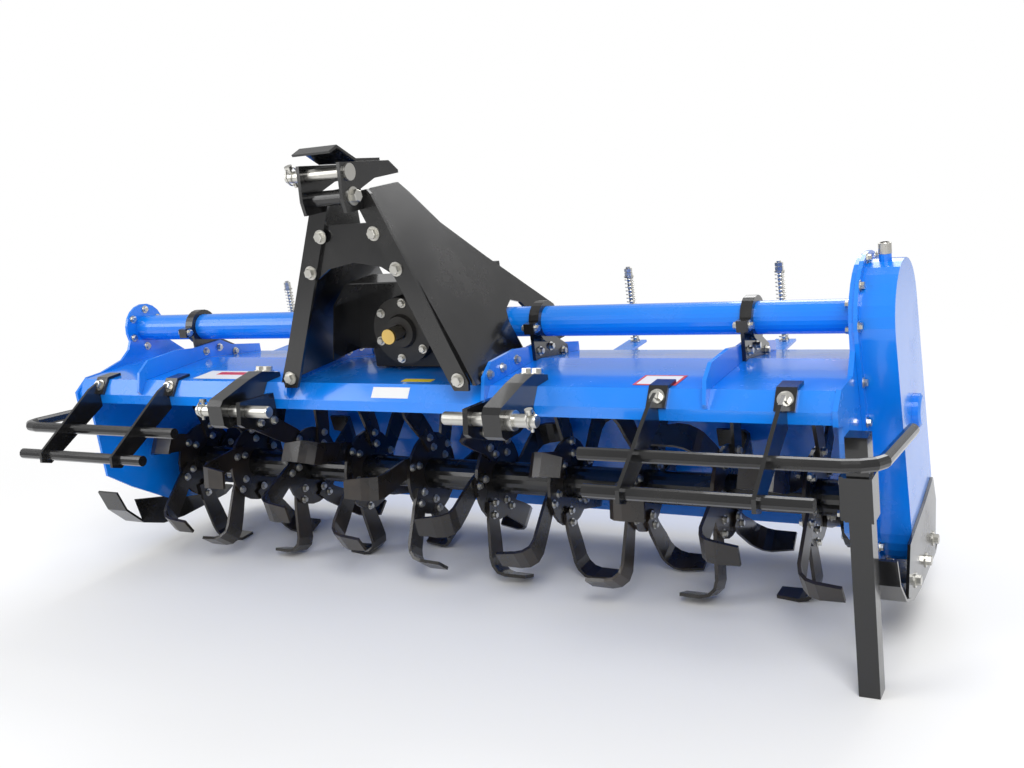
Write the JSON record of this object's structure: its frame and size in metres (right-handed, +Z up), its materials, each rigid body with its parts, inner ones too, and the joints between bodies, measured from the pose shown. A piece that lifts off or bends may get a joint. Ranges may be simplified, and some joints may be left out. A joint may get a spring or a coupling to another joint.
{
  "type": "rotary tiller",
  "caption": "Tractor-mounted rotary tiller with a three-point mast, side gear case, bladed rotor under a folded hood, front guard rails, skids and a parking leg.",
  "frame": {"origin": "bottom centre of the parked machine, on the ground", "axes": "+X to the gear-case side, -Y towards the tractor, +Z up"},
  "size_m": [2.226, 0.844, 1.1195],
  "materials": {
    "blue_paint": "gloss blue paint",
    "black_paint": "gloss black paint",
    "tine_steel": "black paint on hardened steel",
    "black_casting": "painted black",
    "zinc_steel": "zinc plated",
    "bare_steel": "greased bare steel with a yellow plastic cap"
  },
  "bodies": {
    "frame": {"hood": "blue_paint", "side_plate_left": "blue_paint", "side_plate_right": "blue_paint", "gear_case": "blue_paint", "beam_left": "blue_paint", "beam_right": "blue_paint", "rib_left": "blue_paint", "rib_base_left": "blue_paint", "rib_base_right": "blue_paint", "rib_right": "blue_paint", "clamp_left": "black_paint", "clamp_base_left": "black_paint", "clamp_base_right": "black_paint", "clamp_right": "black_paint", "gearbox": "black_casting", "pto_shield": "black_paint", "mast_plate_left": "black_paint", "mast_plate_right": "black_paint", "mast_strap_left": "black_paint", "mast_strap_right": "black_paint", "mast_cross_plate": "black_paint", "top_cheek_left": "black_paint", "top_cheek_right": "black_paint", "top_link_pin": "zinc_steel", "top_roller": "black_paint", "top_catch": "black_paint", "hitch_bracket_left": "black_paint", "hitch_bracket_right": "black_paint", "lower_pin_left": "zinc_steel", "lower_pin_right": "zinc_steel", "guard_left": "black_paint", "guard_right": "black_paint", "stand_sleeve": "black_paint", "skid_left": "black_paint", "skid_right": "black_paint"},
    "rotor": {"rotor_tube": "black_paint", "tine_flange_1": "tine_steel", "tine_flange_2": "tine_steel", "tine_flange_3": "tine_steel", "tine_flange_4": "tine_steel", "tine_flange_5": "tine_steel", "tine_flange_6": "tine_steel", "tine_flange_7": "tine_steel", "tine_flange_8": "tine_steel", "tine_flange_9": "tine_steel", "tine_flange_10": "tine_steel"},
    "input_shaft": {"pto_shaft": "bare_steel"},
    "flap": {"rear_flap": "blue_paint"},
    "leg": {"stand_leg": "black_paint"},
    "rod_1": {"spring_rod_1": "zinc_steel"},
    "rod_2": {"spring_rod_2": "zinc_steel"},
    "rod_3": {"spring_rod_3": "zinc_steel"},
    "rod_4": {"spring_rod_4": "zinc_steel"}
  },
  "joints": [
    {"name": "rotor_spin", "type": "hinge", "parent": "frame", "child": "rotor", "pos_m": [0, 0.144, 0.2447], "axis": [1, 0, 0], "continuous": true},
    {"name": "pto_spin", "type": "hinge", "parent": "frame", "child": "input_shaft", "pos_m": [0, -0.134, 0.682], "axis": [0, -1, 0], "continuous": true},
    {"name": "flap_hinge", "type": "hinge", "parent": "frame", "child": "flap", "pos_m": [0, 0.351, 0.475], "axis": [1, 0, 0], "range_deg": [0, 40]},
    {"name": "stand_slide", "type": "slide", "parent": "frame", "child": "leg", "axis": [0, 0, 1], "range_m": [0, 0.25]},
    {"name": "rod_1_slide", "type": "slide", "parent": "frame", "child": "rod_1", "axis": [0, 0, 1], "range_m": [0, 0.0355]},
    {"name": "rod_2_slide", "type": "slide", "parent": "frame", "child": "rod_2", "axis": [0, 0, 1], "range_m": [0, 0.0355]},
    {"name": "rod_3_slide", "type": "slide", "parent": "frame", "child": "rod_3", "axis": [0, 0, 1], "range_m": [0, 0.0355]},
    {"name": "rod_4_slide", "type": "slide", "parent": "frame", "child": "rod_4", "axis": [0, 0, 1], "range_m": [0, 0.0355]}
  ],
  "couplings": [
    {"joint": "pto_spin", "follows": "rotor_spin", "ratio": 2.6},
    {"joint": "rod_1_slide", "follows": "flap_hinge", "m_per_rad": 0.05},
    {"joint": "rod_2_slide", "follows": "flap_hinge", "m_per_rad": 0.05},
    {"joint": "rod_3_slide", "follows": "flap_hinge", "m_per_rad": 0.05},
    {"joint": "rod_4_slide", "follows": "flap_hinge", "m_per_rad": 0.05}
  ]
}
